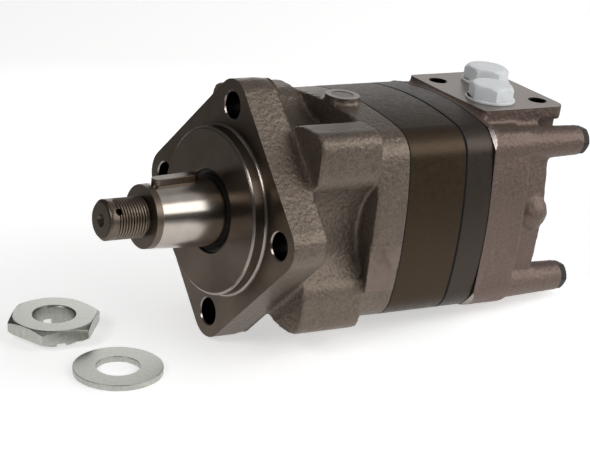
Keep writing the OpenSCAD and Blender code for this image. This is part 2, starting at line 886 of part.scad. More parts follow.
// Half-sunk casting swell on the near side, round below and pointed above
module side_swell() {
    arc = (swell_r * swell_r + swell_h * swell_h) / (2 * swell_r);
    translate([swell_x, -port_core_w / 2 + swell_sunk, swell_z])
        rotate_extrude()
            intersection() {
                translate([swell_r - arc, 0]) circle(r = arc, $fn = 180);
                translate([0, -swell_r]) square([swell_r, swell_h + swell_r]);
                union() {
                    square([swell_r, swell_h]);
                    circle(r = swell_r);
                }
            }
}

module port_housing() {
    color([0.43, 0.38, 0.34])
        difference() {
            union() {
                difference() {
                    port_body();
                    translate([plate_x, -2 * section_r, plate_bottom_z])
                        cube([port_l, 4 * section_r, 2 * section_r]);
                }
                four_corners(bolt_y, bolt_z)
                    bar(x_valve, x_end, boss_root_d / 2, boss_d / 2);
                translate([plate_x + 2, -block_half, 0])
                    cube([plate_l - 4, 2 * block_half, plate_bottom_z + 1]);
                translate([plate_mid_x, 0, plate_bottom_z])
                    linear_extrude(plate_t)
                        plate_outline();
                side_swell();
            }
            bar(x_valve - over, x_valve + valve_bore_l, valve_bore_r);
            bar(x_valve, x_valve + balance_bore_l, balance_tail_d / 2 + 2 * running);
            seam_groove(x_valve, seam_groove_depth);
            bolt_holes(x_valve - over, x_end + over);
            port_places() {
                translate([0, 0, port_face_z - port_depth])
                    cylinder(h = port_depth + over, d = port_d);
                translate([0, 0, port_face_z - 2])
                    cylinder(h = 2.01, d1 = port_d, d2 = port_d + 2.6);
            }
            port_passages();
            plate_taps();
        }
}

// The front port feeds the valve's rim, the rear port the space behind the balance plate
module port_passages() {
    translate([plate_mid_x - port_pitch_x / 2, -port_pitch_y / 2, balance_tail_d / 2])
        cylinder(h = port_face_z - port_depth - balance_tail_d / 2 + 1, d = 11);
    translate([x_valve + balance_bore_l + 3, port_pitch_y / 2, 0])
        cylinder(h = port_face_z - port_depth + 2, d = 11);
    bar(x_valve + balance_bore_l - over, x_valve + balance_bore_l + 8, 19);
}

module plate_taps() {
    for (s = [-1, 1])
        translate([plate_mid_x + s * tap_pitch_x / 2, -s * tap_pitch_y / 2, 0]) {
            translate([0, 0, port_face_z - tap_depth])
                cylinder(h = tap_depth + over, d = tap_d, $fn = 48);
            translate([0, 0, port_face_z - 0.6])
                cylinder(h = 0.61, d1 = tap_d, d2 = tap_d + 1.2, $fn = 48);
        }
}

// Plastic plug that closes a port: hexagonal head with a turned edge, flange and ribbed stem
module port_plug(side) {
    stem_l = 9;
    flange_t = 1.5;
    corner = plug_hex_w / cos(30);
    slope_h = plug_head_h * 0.3;
    color([0.75, 0.79, 0.84])
        translate([plate_mid_x + side * port_pitch_x / 2, side * port_pitch_y / 2, port_face_z]) {
            cylinder(h = flange_t, d = plug_flange_d);
            translate([0, 0, flange_t])
                intersection() {
                    rotate(plug_turns[side < 0 ? 0 : 1])
                        cylinder(h = plug_head_h, d = corner, $fn = 6);
                    union() {
                        cylinder(h = plug_head_h - slope_h, d = corner + over);
                        translate([0, 0, plug_head_h - slope_h])
                            cylinder(h = slope_h, d1 = corner + over, d2 = plug_hex_w - plug_chamfer);
                    }
                }
            translate([0, 0, -stem_l])
                cylinder(h = stem_l, d = port_d - 0.8);
            for (k = [0:3])
                translate([0, 0, -stem_l + 1 + 1.8 * k])
                    cylinder(h = 0.8, d = port_d - 0.2);
        }
}

module drain_plug() {
    color([0.47, 0.43, 0.43])
        drain_boss_bar(drain_plug_d, drain_seat_z, drain_face_z - 0.3);
}

module corner_bolts() {
    color([0.05, 0.05, 0.05])
        four_corners(bolt_y, bolt_z) {
            bar(bolt_tip_x, x_end, bolt_d / 2);
            intersection() {
                along_x(x_end)
                    cylinder(h = bolt_head_h, d = bolt_hex_w / cos(30), $fn = 6);
                bar(x_end, x_end + bolt_head_h, bolt_hex_w / cos(30) / 2 + 6, bolt_hex_w / 2 - 0.6);
            }
        }
}

// Stands what follows on the ground at a place given in X and Y
module on_ground(place) {
    translate([place.x, place.y, ground_z + tan(ground_tilt) * (place.x - ground_x)])
        rotate([0, -ground_tilt, 0])
            children();
}

module shaft_nut() {
    corner = nut_hex_w / cos(30);
    color([0.72, 0.73, 0.74])
        on_ground(nut_place)
            rotate(nut_turn)
                difference() {
                    union() {
                        cylinder(h = nut_crown_h + 1, d = nut_crown_d);
                        translate([0, 0, nut_crown_h])
                            intersection() {
                                cylinder(h = nut_hex_t, d = corner, $fn = 6);
                                cylinder(h = nut_hex_t, d1 = corner - 3, d2 = corner + 22);
                                cylinder(h = nut_hex_t, d1 = corner + 22, d2 = nut_hex_w - 0.6);
                            }
                    }
                    translate([0, 0, -over])
                        cylinder(h = nut_crown_h + nut_hex_t + 2 * over, d = thread_d + 0.6);
                    translate([0, 0, nut_crown_h + nut_hex_t - 0.7])
                        cylinder(h = 0.71, d1 = thread_d + 0.6, d2 = thread_d + 2);
                    for (k = [0:2])
                        rotate(60 * k + 30)
                            translate([-nut_crown_d, -nut_slot_w / 2, -over])
                                cube([2 * nut_crown_d, nut_slot_w, nut_crown_h + over - 0.4]);
                }
}

module shaft_washer() {
    color([0.70, 0.71, 0.72])
        on_ground(washer_place)
            difference() {
                cylinder(h = washer_t, d = washer_d);
                translate([0, 0, -over])
                    cylinder(h = washer_t + 2 * over, d = washer_hole_d);
            }
}

shaft_housing();
dust_seal();
shaft_seal();
front_bearing_cup();
front_bearing_cage();
front_bearing_rollers();
thrust_washer();
thrust_cage();
thrust_rollers();
rear_bearing_cup();
rear_bearing_cage();
rear_bearing_rollers();
output_shaft();
shaft_key();
wear_plate();
drive_link();
gear_ring();
ring_roller(1);  // ring_roller_1
ring_roller(2);  // ring_roller_2
ring_roller(3);  // ring_roller_3
ring_roller(4);  // ring_roller_4
ring_roller(5);  // ring_roller_5
ring_roller(6);  // ring_roller_6
ring_roller(7);  // ring_roller_7
star_gear();
drive_spacer();
valve_link();
channel_plate();
disc_valve();
balance_plate();
balance_seal();
balance_spring();
port_housing();
port_plug(-1);  // port_plug_front
port_plug(1);  // port_plug_rear
drain_plug();
seam_seal(x_ring - 2 * seal_section_r);  // seam_seal_front
seam_seal(x_channel);  // seam_seal_middle
seam_seal(x_valve);  // seam_seal_rear
corner_bolts();
shaft_nut();
shaft_washer();
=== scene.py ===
"""Dresses the packed orbital hydraulic motor in its cast, turned, ground, plated and moulded finishes."""

import json
import math

import bmesh
import bpy
from mathutils import Matrix, Vector, noise

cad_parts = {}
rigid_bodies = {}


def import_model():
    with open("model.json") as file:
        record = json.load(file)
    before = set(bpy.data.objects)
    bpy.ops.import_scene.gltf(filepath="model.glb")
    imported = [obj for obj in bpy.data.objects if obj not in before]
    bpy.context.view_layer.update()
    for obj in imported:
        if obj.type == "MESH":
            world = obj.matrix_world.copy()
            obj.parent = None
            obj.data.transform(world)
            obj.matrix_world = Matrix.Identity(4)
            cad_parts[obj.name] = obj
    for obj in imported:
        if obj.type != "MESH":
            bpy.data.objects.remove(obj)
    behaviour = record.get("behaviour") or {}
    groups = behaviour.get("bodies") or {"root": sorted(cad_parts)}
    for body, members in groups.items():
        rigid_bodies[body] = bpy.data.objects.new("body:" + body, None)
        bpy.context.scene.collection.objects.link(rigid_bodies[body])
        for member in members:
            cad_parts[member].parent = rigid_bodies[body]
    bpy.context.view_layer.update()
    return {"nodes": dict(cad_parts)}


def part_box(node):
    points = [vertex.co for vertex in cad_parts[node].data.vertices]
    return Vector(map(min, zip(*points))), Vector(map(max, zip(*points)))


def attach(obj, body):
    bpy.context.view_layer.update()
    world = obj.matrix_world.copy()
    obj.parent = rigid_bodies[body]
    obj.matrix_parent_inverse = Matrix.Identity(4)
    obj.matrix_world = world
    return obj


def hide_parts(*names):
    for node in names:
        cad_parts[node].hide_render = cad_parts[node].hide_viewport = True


bl_info = {
    "name": "Orbital hydraulic motor",
    "version": (1, 0, 0),
    "blender": (4, 5, 0),
    "location": "View3D > Sidebar > Motor",
    "description": "Finishes and small details of an orbital hydraulic motor around its solid parts",
    "category": "Object",
}

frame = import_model()
MM = 0.001

# Sizes and places are in millimetres, and those that the solids hold are read from them
SEAM_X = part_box("shaft_housing")[1].x / MM
PORT_FRONT, PORT_REAR = [corner.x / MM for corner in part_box("port_housing")]
HEAD_CORNER_R, HEAD_FLAT_R = 7.506, 6.5
BOLT_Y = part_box("corner_bolts")[1].y / MM - HEAD_CORNER_R
BOLT_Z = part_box("corner_bolts")[1].z / MM - HEAD_FLAT_R

# Shaft housing
FLANGE_CIRCLE_R = 53.2
FLANGE_HOLE_R = 6.75
PILOT_R = 41.25
PILOT_FRONT = -7
DRAIN_X = SEAM_X - 9.5
DRAIN_FACE_Z = 55.4
PAD_LOW, PAD_HIGH = (55, -30), (72.5, -7)
PAD_FACE_Y = -52.1
SEAT_GAP = 0.02

# Port housing
PORT_FACE_Z = 52.8
PLATE_L, PLATE_W = 53, 65.2
PLATE_FRONT_R, PLATE_REAR_R = 1.5, 6.5
TAP_X, TAP_Y = 16.75, 20.5
SWELL_X, SWELL_Y, SWELL_Z = 33, -41.5, 1
VALVE_BORE_R, VALVE_BORE_DEPTH = 31, 18.9
PASSAGE_R = 5.5

# Shaft
TAPER_SMALL_X, TAPER_SMALL_R = -44.5, 15.575
TAPER_SLOPE = 0.05
DULL_UNTIL_X = TAPER_SMALL_X + 3.5
THREAD_R, THREAD_DEPTH = 10, 0.8
THREAD_TURNS = 10.6
THREAD_RUN_IN = 5
THREAD_MIDDLE_X, THREAD_REACH = -53.9, 8.1

# Material zones of a casting: as cast, turned, bare turned, bore in painted shade, worn pad, ground flat
CAST, TURNED, BARE, BORE, PAD, FLAT = range(6)
# Past the side of any casting
PAST = 90
# Distance under which a mesh's points count as one
MERGE = 0.002

# The ground that the motor lies on, and the camera that the photo gives, with its focal length in pixels
GROUND_SLOPE, GROUND_Z = 0.10923, -68.385
FOCAL_PIXELS, PHOTO_WIDTH = 2375.6, 590
SENSOR_WIDTH = 36
CAMERA_PLACE = (-0.6131, -0.9121, 0.3638)
CAMERA_RIGHT = (0.8277, -0.5477, 0.1224)
CAMERA_AHEAD = (0.5552, 0.7674, -0.3208)
STUDIO_GREY = (0.075, 0.072, 0.07, 1)

# Sockets of a Mix node that blends colours, and the part of its range that a noise fills
MIX_FROM, MIX_TO, MIX_RESULT = 6, 7, 2
NOISE_RANGE = {"From Min": 0.3, "From Max": 0.7}


def paint(code):
    """Linear colour of an sRGB hex value."""
    parts = [int(code[i : i + 2], 16) / 255 for i in (1, 3, 5)]
    return tuple(c / 12.92 if c <= 0.04045 else ((c + 0.055) / 1.055) ** 2.4 for c in parts)


def dimmed(colour, share):
    """A colour at a share of its light."""
    return [part * share for part in colour]


def put(tree, kind, inputs=None, **settings):
    """Adds a shader node with its settings, and fills or links its inputs."""
    made = tree.nodes.new("ShaderNode" + kind)
    for name, value in settings.items():
        setattr(made, name, value)
    for name, value in (inputs or {}).items():
        socket = made.inputs[name]
        if isinstance(value, bpy.types.NodeSocket):
            tree.links.new(value, socket)
        elif socket.type == "RGBA":
            socket.default_value = (*value[:3], 1)
        else:
            socket.default_value = value
    return made


def start_material(name):
    """An empty material with its node tree and the place on the piece that its patterns read."""
    made = bpy.data.materials.new(name)
    made.use_nodes = True
    tree = made.node_tree
    tree.nodes.clear()
    return made, tree, put(tree, "TexCoord").outputs["Object"]


def finish_material(tree, surface):
    """Ends a material in a principled shader with these inputs."""
    shader = put(tree, "BsdfPrincipled", surface)
    put(tree, "OutputMaterial", {"Surface": shader.outputs["BSDF"]})


def per_metre(size_mm):
    """Noise scale whose features are about size_mm across."""
    return 1 / (size_mm * MM)


def blend_colours(tree, low, high, factor, start=0.35, end=0.65):
    """Colour that runs from low to high as factor goes from start to end."""
    ramp = put(tree, "MapRange", {"Value": factor, "From Min": start, "From Max": end}).outputs["Result"]
    mix = put(tree, "Mix", {"Factor": ramp, MIX_FROM: low, MIX_TO: high}, data_type="RGBA")
    return mix.outputs[MIX_RESULT]


def sand_cast_iron(name, dark, light, grain_mm=1.15, patch_mm=22, depth_mm=0.3, gloss=0.32):
    """Grey iron cast in sand, under a thin brown lacquer: grainy, with a metal glint and darker patches.

    Sand grains of about 0.3 mm wouldn't show, so the grain is drawn coarser.
    """
    made, tree, place = start_material(name)
    grain = put(
        tree, "TexNoise", {"Vector": place, "Scale": per_metre(grain_mm), "Detail": 4.0, "Roughness": 0.62}
    ).outputs["Fac"]
    pits = put(tree, "TexVoronoi", {"Vector": place, "Scale": per_metre(grain_mm * 1.8)}, feature="SMOOTH_F1")
    patch = put(tree, "TexNoise", {"Vector": place, "Scale": per_metre(patch_mm), "Detail": 4.0})
    skin = blend_colours(tree, dark, light, grain, 0.25, 0.75)
    dirt = put(tree, "MapRange", {"Value": patch.outputs["Fac"], **NOISE_RANGE, "To Min": 0.0, "To Max": 0.3})
    worn = put(
        tree, "Mix", {"Factor": dirt.outputs["Result"], MIX_FROM: skin, MIX_TO: dark}, data_type="RGBA"
    ).outputs[MIX_RESULT]
    rough = put(tree, "MapRange", {"Value": grain, **NOISE_RANGE, "To Min": gloss, "To Max": gloss + 0.16})
    height = put(tree, "Math", {0: grain, 1: pits.outputs["Distance"]}, operation="ADD").outputs["Value"]
    bump = put(tree, "Bump", {"Height": height, "Strength": 1.0, "Distance": depth_mm * MM})
    finish_material(
        tree,
        {
            "Base Color": worn,
            "Metallic": 0.7,
            "Roughness": rough.outputs["Result"],
            "Normal": bump.outputs["Normal"],
        },
    )
    return made


def turned_iron(name, colour, gloss=0.3, pitch_mm=0.5, depth_mm=0.005):
    """Iron faced on a lathe: fine rings round the motor's axis, which spread each light into a fan.

    The tool's feed of about 0.15 mm wouldn't show, so the rings are drawn coarser.
    """
    made, tree, place = start_material(name)
    parts = put(tree, "SeparateXYZ", {"Vector": place})
    flat = put(tree, "CombineXYZ", {"Y": parts.outputs["Y"], "Z": parts.outputs["Z"]}).outputs["Vector"]
    radius = put(tree, "VectorMath", {0: flat}, operation="LENGTH").outputs["Value"]
    along = put(tree, "Math", {0: radius, 1: parts.outputs["X"]}, operation="ADD").outputs["Value"]
    rings = put(
        tree, "TexNoise", {"W": along, "Scale": per_metre(pitch_mm), "Detail": 2.0}, noise_dimensions="1D"
    ).outputs["Fac"]
    patch = put(tree, "TexNoise", {"Vector": place, "Scale": per_metre(18), "Detail": 5.0})
    speck = put(tree, "TexNoise", {"Vector": place, "Scale": per_metre(1.4), "Detail": 3.0}).outputs["Fac"]
    rough = put(
        tree, "MapRange", {"Value": speck, **NOISE_RANGE, "To Min": gloss - 0.02, "To Max": gloss + 0.04}
    )
    height = put(tree, "Math", {0: speck, 1: 0.3, 2: rings}, operation="MULTIPLY_ADD").outputs["Value"]
    bump = put(tree, "Bump", {"Height": height, "Strength": 1.0, "Distance": depth_mm * MM})
    round_axis = put(tree, "VectorMath", {0: (1, 0, 0), 1: place}, operation="CROSS_PRODUCT")
    finish_material(
        tree,
        {
            "Base Color": blend_colours(tree, dimmed(colour, 0.75), colour, patch.outputs["Fac"]),
            "Metallic": 0.95,
            "Roughness": rough.outputs["Result"],
            "Anisotropic": 0.85,
            "Anisotropic Rotation": 0.25,
            "Tangent": round_axis.outputs["Vector"],
            "Normal": bump.outputs["Normal"],
        },
    )
    return made


def ground_steel(name, colour, gloss=0.18, pitch_mm=0.22, depth_mm=0.004, dull=None):
    """Steel ground between centres: bright, with faint rings across the shaft.

    Where a dull colour is given, the threaded end stays as the lathe left it, with painted shade and
    highlight along its thread.
    """
    made, tree, place = start_material(name)
    parts = put(tree, "SeparateXYZ", {"Vector": place})
    rings = put(
        tree,
        "TexNoise",
        {"W": parts.outputs["X"], "Scale": per_metre(pitch_mm), "Detail": 3.0},
        noise_dimensions="1D",
    )
    smear = put(tree, "TexNoise", {"Vector": place, "Scale": per_metre(7), "Detail": 4.0}).outputs["Fac"]
    tint = blend_colours(tree, dimmed(colour, 0.9), colour, smear)
    rough = put(
        tree, "MapRange", {"Value": smear, **NOISE_RANGE, "To Min": gloss, "To Max": gloss + 0.06}
    ).outputs["Result"]
    if dull:
        tint, rough = threaded_end(tree, parts, dull, tint, gloss)
    bump = put(tree, "Bump", {"Height": rings.outputs["Fac"], "Strength": 1.0, "Distance": depth_mm * MM})
    finish_material(
        tree, {"Base Color": tint, "Metallic": 1.0, "Roughness": rough, "Normal": bump.outputs["Normal"]}
    )
    return made


def threaded_end(tree, parts, dull, ground, gloss):
    """Colour and roughness of a shaft with a dull turned end, whose thread has painted shade at its root and
    a painted highlight on its crests.
    """
    flat = put(tree, "CombineXYZ", {"Y": parts.outputs["Y"], "Z": parts.outputs["Z"]}).outputs["Vector"]
    radius = put(tree, "VectorMath", {0: flat}, operation="LENGTH").outputs["Value"]
    root, crest = (THREAD_R - 0.75) * MM, (THREAD_R - 0.1) * MM
    # Painted shade at the thread's root and a painted highlight on its crests
    thread_shade_and_highlight = blend_colours(tree, dimmed(dull, 0.08), dimmed(dull, 1.5), radius, root, crest)
    on_thread = put(
        tree,
        "Math",
        {0: parts.outputs["X"], 1: THREAD_MIDDLE_X * MM, 2: THREAD_REACH * MM},
        operation="COMPARE",
    )
    turned_end_painted = put(
        tree, "Mix", {"Factor": on_thread.outputs["Value"], MIX_FROM: dull, MIX_TO: thread_shade_and_highlight}, data_type="RGBA"
    )
    start, end = (DULL_UNTIL_X - 0.3) * MM, (DULL_UNTIL_X + 0.3) * MM
    is_ground = put(
        tree, "MapRange", {"Value": parts.outputs["X"], "From Min": start, "From Max": end}
    ).outputs["Result"]
    tint = put(
        tree,
        "Mix",
        {"Factor": is_ground, MIX_FROM: turned_end_painted.outputs[MIX_RESULT], MIX_TO: ground},
        data_type="RGBA",
    )
    rough = put(tree, "Math", {0: is_ground, 1: -0.2, 2: gloss + 0.22}, operation="MULTIPLY_ADD")
    return tint.outputs[MIX_RESULT], rough.outputs["Value"]


def mottled(name, colour, metallic=1.0, gloss=0.35, grain_mm=2.0, depth_mm=0.01):
    """A plain finish with a light mottle and a faint unevenness."""
    made, tree, place = start_material(name)
    mottle = put(
        tree, "TexNoise", {"Vector": place, "Scale": per_metre(grain_mm), "Detail": 4.0}
    ).outputs["Fac"]
    rough = put(tree, "MapRange", {"Value": mottle, **NOISE_RANGE, "To Min": gloss, "To Max": gloss + 0.1})
    bump = put(tree, "Bump", {"Height": mottle, "Strength": 1.0, "Distance": depth_mm * MM})
    finish_material(
        tree,
        {
            "Base Color": blend_colours(tree, dimmed(colour, 0.8), colour, mottle),
            "Metallic": metallic,
            "Roughness": rough.outputs["Result"],
            "Normal": bump.outputs["Normal"],
        },
    )
    return made


def moulded_polythene(name, colour):
    """Low-density polythene, injection moulded: milky, waxy and a little uneven."""
    made, tree, place = start_material(name)
    cloud = put(tree, "TexNoise", {"Vector": place, "Scale": per_metre(6), "Detail": 3.0}).outputs["Fac"]
    rough = put(tree, "MapRange", {"Value": cloud, **NOISE_RANGE, "To Min": 0.32, "To Max": 0.42})
    bump = put(tree, "Bump", {"Height": cloud, "Strength": 1.0, "Distance": 0.05 * MM})
    finish_material(
        tree,
        {
            "Base Color": blend_colours(tree, dimmed(colour, 0.92), colour, cloud),
            "Roughness": rough.outputs["Result"],
            "Subsurface Weight": 0.6,
            "Subsurface Radius": (1.0, 1.0, 1.0),
            "Subsurface Scale": 3 * MM,
            "Normal": bump.outputs["Normal"],
        },
    )
    return made


def white_card(name, glow):
    """White matt card that glows under the motor, with painted shade that falls off to grey on two sides."""
    made, tree, place = start_material(name)
    shades = []
    # Painted shade: the card greys towards two sides, which also darkens what the metal reflects there
    for way, near, far in (((0.76, -0.657, 0), 0.17, 0.42), ((-0.893, 0.45, 0), 0.11, 0.25)):
        aside = put(tree, "VectorMath", {0: place, 1: way}, operation="DOT_PRODUCT").outputs["Value"]
        ramp = put(tree, "MapRange", {"Value": aside, "From Min": near, "From Max": far})
        shades.append(ramp.outputs["Result"])
    shade = put(tree, "Math", dict(enumerate(shades)), operation="MAXIMUM").outputs["Value"]
    painted_shade_paper = blend_colours(tree, paint("#F1F1F1"), paint("#7E7E7E"), shade, 0, 1)
    finish_material(
        tree, {"Base Color": painted_shade_paper, "Roughness": 0.7, "Emission Color": painted_shade_paper, "Emission Strength": glow}
    )
    return made


def show(name, mesh, body, materials, replaces):
    """Puts a finished mesh in the scene as a piece that rides on a body in place of CAD nodes."""
    piece = bpy.data.objects.new(name, mesh)
    bpy.context.scene.collection.objects.link(piece)
    zones = [0] * len(mesh.polygons)
    mesh.polygons.foreach_get("material_index", zones)
    mesh.materials.clear()
    for made in materials:
        mesh.materials.append(made)
    mesh.polygons.foreach_set("material_index", [min(zone, len(materials) - 1) for zone in zones])
    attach(piece, body)
    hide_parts(*replaces)
    return piece


def dress(made, *nodes):
    """Gives CAD nodes that stay as they are one material."""
    for name in nodes:
        mesh = frame["nodes"][name].data
        mesh.materials.clear()
        mesh.materials.append(made)


def whole_copy(node):
    """A bmesh of a CAD node with its loose triangles merged and its flat faces made whole."""
    made = bmesh.new()
    made.from_mesh(frame["nodes"][node].data)
    bmesh.ops.remove_doubles(made, verts=made.verts, dist=MERGE * MM)
    bmesh.ops.dissolve_limit(made, angle_limit=math.radians(0.3), verts=made.verts[:], edges=made.edges[:])
    return made


def round_edges(made, width_mm, wanted=None, sharp=25):
    """Rounds the edges sharper than so many degrees, or those of them that wanted(edge) picks."""
    edges = [
        edge
        for edge in made.edges
        if edge.is_manifold
        and edge.calc_face_angle(0) > math.radians(sharp)
        and (wanted is None or wanted(edge))
    ]
    bmesh.ops.bevel(
        made,
        geom=edges,
        offset=width_mm * MM,
        offset_type="OFFSET",
        segments=2,
        profile=0.5,
        affect="EDGES",
        clamp_overlap=False,
        material=-1,
        loop_slide=True,
    )


def in_zone(made, zone):
    """Gives all faces of a shape one material zone."""
    for face in made.faces:
        face.material_index = zone
    return made


def spun(section, followers, steps):
    """Shape spun round the motor's axis from (distance, radius) pairs in millimetres and their joins."""
    made = bmesh.new()
    points = [made.verts.new((x * MM, 0, r * MM)) for x, r in section]
    edges = [made.edges.new((points[k], points[after])) for k, after in followers]
    bmesh.ops.spin(
        made,
        geom=points + edges,
        cent=(0, 0, 0),
        axis=(1, 0, 0),
        angle=2 * math.pi,
        steps=steps,
        use_merge=True,
    )
    bmesh.ops.holes_fill(made, edges=[edge for edge in made.edges if edge.is_boundary])
    bmesh.ops.recalc_face_normals(made, faces=made.faces)
    return made


def turned(profile, place=(0, 0, 0), axis="X", zone=TURNED, steps=96):
    """Closed shape of revolution from (distance, radius) pairs, moved to a place in millimetres."""
    made = spun(profile, [(k, k + 1) for k in range(len(profile) - 1)], steps)
    turn = Matrix.Rotation(-math.pi / 2, 4, "Y") if axis == "Z" else Matrix()
    bmesh.ops.transform(made, matrix=Matrix.Translation(Vector(place) * MM) @ turn, verts=made.verts)
    return in_zone(made, zone)


def turned_ring(section, zone=TURNED):
    """Ring about the motor's axis from a closed section of (distance, radius) pairs in millimetres."""
    count = len(section)
    return in_zone(spun(section, [(k, (k + 1) % count) for k in range(count)], 144), zone)


def block(low, high, zone=TURNED):
    """Box between two corners in millimetres."""
    made = bmesh.new()
    bmesh.ops.create_cube(made, size=1)
    low, high = Vector(low) * MM, Vector(high) * MM
    bmesh.ops.scale(made, vec=high - low, verts=made.verts)
    bmesh.ops.translate(made, vec=(low + high) / 2, verts=made.verts)
    return in_zone(made, zone)


def hull_of(points):
    """Convex shape round points in metres."""
    made = bmesh.new()
    for point in points:
        made.verts.new(point)
    found = bmesh.ops.convex_hull(made, input=made.verts)
    inside = [part for part in found["geom_interior"] if isinstance(part, bmesh.types.BMVert)]
    bmesh.ops.delete(made, geom=inside, context="VERTS")
    return made


def scratch(made, name):
    """An object that holds a shape while it is worked on, with a slot for each material zone."""
    mesh = bpy.data.meshes.new(name)
    made.to_mesh(mesh)
    made.free()
    for _ in range(FLAT + 1):
        mesh.materials.append(None)
    holder = bpy.data.objects.new(name, mesh)
    bpy.context.scene.collection.objects.link(holder)
    return holder


def settled(holder):
    """Mesh of an object with its modifiers applied."""
    bpy.context.view_layer.update()
    graph = bpy.context.evaluated_depsgraph_get()
    return bpy.data.meshes.new_from_object(holder.evaluated_get(graph))


def cast_skin(shapes, name, voxel_mm=1.0, passes=6, lump_mm=2.4, depth_mm=0.15, draft=None):
    """Joins shapes into one sand-cast body with soft edges and a lumpy skin that never grows outwards."""
    raw = bmesh.new()
    for shape in shapes:
        mesh = bpy.data.meshes.new("shape")
        shape.to_mesh(mesh)
        shape.free()
        raw.from_mesh(mesh)
        bpy.data.meshes.remove(mesh)
    holder = scratch(raw, name)
    remesh = holder.modifiers.new("voxels", "REMESH")
    remesh.mode, remesh.voxel_size = "VOXEL", voxel_mm * MM
    smooth = holder.modifiers.new("soften", "SMOOTH")
    smooth.factor, smooth.iterations = 0.5, passes
    mesh = settled(holder)
    normals = [normal.vector.copy() for normal in mesh.vertex_normals]
    for vertex, normal in zip(mesh.vertices, normals):
        coarse = noise.noise(vertex.co / (lump_mm * MM))
        lump = coarse + 0.5 * noise.noise(vertex.co / (lump_mm * 0.5 * MM))
        sunk = (0.5 + 0.45 * max(-1, min(1, 1.3 * lump))) * depth_mm
        if draft:
            sunk += draft(vertex.co / MM, normal)
        vertex.co -= normal * sunk * MM
    holder.modifiers.clear()
    holder.data = mesh
    return holder


def machine(holder, steps):
    """Cuts or joins groups of shapes, in order, and returns the finished mesh."""
    groups = []
    for count, (operation, shapes) in enumerate(steps):
        tools = bpy.data.collections.new(f"tools_{count}")
        bpy.context.scene.collection.children.link(tools)
        for k, shape in enumerate(shapes):
            tool = scratch(shape, f"tool_{count}_{k}")
            tools.objects.link(tool)
            bpy.context.scene.collection.objects.unlink(tool)
        cut = holder.modifiers.new(f"machine_{count}", "BOOLEAN")
        cut.operation, cut.solver = operation, "MANIFOLD"
        cut.operand_type, cut.collection = "COLLECTION", tools
        groups.append(tools)
    mesh = settled(holder)
    for tools in groups:
        for tool in list(tools.objects):
            old = tool.data
            bpy.data.objects.remove(tool)
            bpy.data.meshes.remove(old)
        bpy.data.collections.remove(tools)
    bpy.data.objects.remove(holder)
    clean = bmesh.new()
    clean.from_mesh(mesh)
    bmesh.ops.remove_doubles(clean, verts=clean.verts, dist=MERGE / 2 * MM)
    bmesh.ops.dissolve_degenerate(clean, edges=clean.edges, dist=MERGE / 2 * MM)
    clean.to_mesh(mesh)
    clean.free()
    return mesh


def shade_smooth(mesh, sharp):
    """Shades a mesh smooth across edges that turn by no more than so many degrees."""
    mesh.polygons.foreach_set("use_smooth", [True] * len(mesh.polygons))
    mesh.set_sharp_from_angle(angle=math.radians(sharp))
    return mesh


def to_mesh(made, name):
    """Mesh of a finished bmesh, shaded smooth across its rounded edges."""
    mesh = bpy.data.meshes.new(name)
    made.to_mesh(mesh)
    made.free()
    return shade_smooth(mesh, 50)


def weigh_normals(piece):
    """Keeps flat faces flat in shading beside their rounded edges."""
    weighted = piece.modifiers.new("weighted_normal", "WEIGHTED_NORMAL")
    weighted.keep_sharp = True


class MotorCastings(bpy.types.PropertyGroup):
    """Cast and machined iron"""

    housing_dark: bpy.props.FloatVectorProperty(
        name="Housing, dark",
        description="Hollows of the shaft housing's cast skin",
        subtype="COLOR",
        default=paint("#564C43"),
    )
    housing_light: bpy.props.FloatVectorProperty(
        name="Housing, light",
        description="Grains of the shaft housing's cast skin",
        subtype="COLOR",
        default=paint("#827569"),
    )
    port_dark: bpy.props.FloatVectorProperty(
        name="Port housing, dark",
        description="Hollows of the port housing's cast skin",
        subtype="COLOR",
        default=paint("#5D4E46"),
    )
    port_light: bpy.props.FloatVectorProperty(
        name="Port housing, light",
        description="Grains of the port housing's cast skin",
        subtype="COLOR",
        default=paint("#83726A"),
    )
    face_colour: bpy.props.FloatVectorProperty(
        name="Turned face",
        description="Machined faces of the castings",
        subtype="COLOR",
        default=paint("#685B4F"),
    )
    bare_colour: bpy.props.FloatVectorProperty(
        name="Bare iron",
        description="Port face and chamfers, without lacquer",
        subtype="COLOR",
        default=paint("#A39A94"),
    )
    # Painted shade: the near-black colour that stands for the shade in bores, threads and seams
    bore_colour: bpy.props.FloatVectorProperty(
        name="Bores",
        description="Oily bores, threads and seams",
        subtype="COLOR",
        default=paint("#1B1815"),
    )
    pad_colour: bpy.props.FloatVectorProperty(
        name="Pad",
        description="Worn pad on the housing's block",
        subtype="COLOR",
        default=paint("#7C6E66"),
    )
    ring_colour: bpy.props.FloatVectorProperty(
        name="Gear ring",
        description="Side of the gear ring",
        subtype="COLOR",
        default=paint("#3D2F1E"),
    )
    channel_colour: bpy.props.FloatVectorProperty(
        name="Channel plate",
        description="Side of the channel plate",
        subtype="COLOR",
        default=paint("#3E352E"),
    )
    seam_bevel: bpy.props.FloatProperty(
        name="Seam bevel",
        description="Rounding of the outer edges of the gear ring and the channel plate",
        default=0.9 * MM,
        unit="LENGTH",
    )


class MotorSteel(bpy.types.PropertyGroup):
    """Shaft and fasteners"""

    shaft_colour: bpy.props.FloatVectorProperty(
        name="Ground steel",
        description="Taper and journals of the shaft",
        subtype="COLOR",
        default=paint("#B7AFA6"),
    )
    dull_colour: bpy.props.FloatVectorProperty(
        name="Turned steel",
        description="Threaded end and key",
        subtype="COLOR",
        default=paint("#6F6459"),
    )
    zinc_colour: bpy.props.FloatVectorProperty(
        name="Zinc",
        description="Nut and washer",
        subtype="COLOR",
        default=paint("#BDBEB7"),
    )
    black_colour: bpy.props.FloatVectorProperty(
        name="Black oxide",
        description="Corner bolts",
        subtype="COLOR",
        default=paint("#15140F"),
    )
    thread_pitch: bpy.props.FloatProperty(
        name="Thread pitch",
        description="Pitch of the shaft's thread",
        default=1.5 * MM,
        unit="LENGTH",
    )


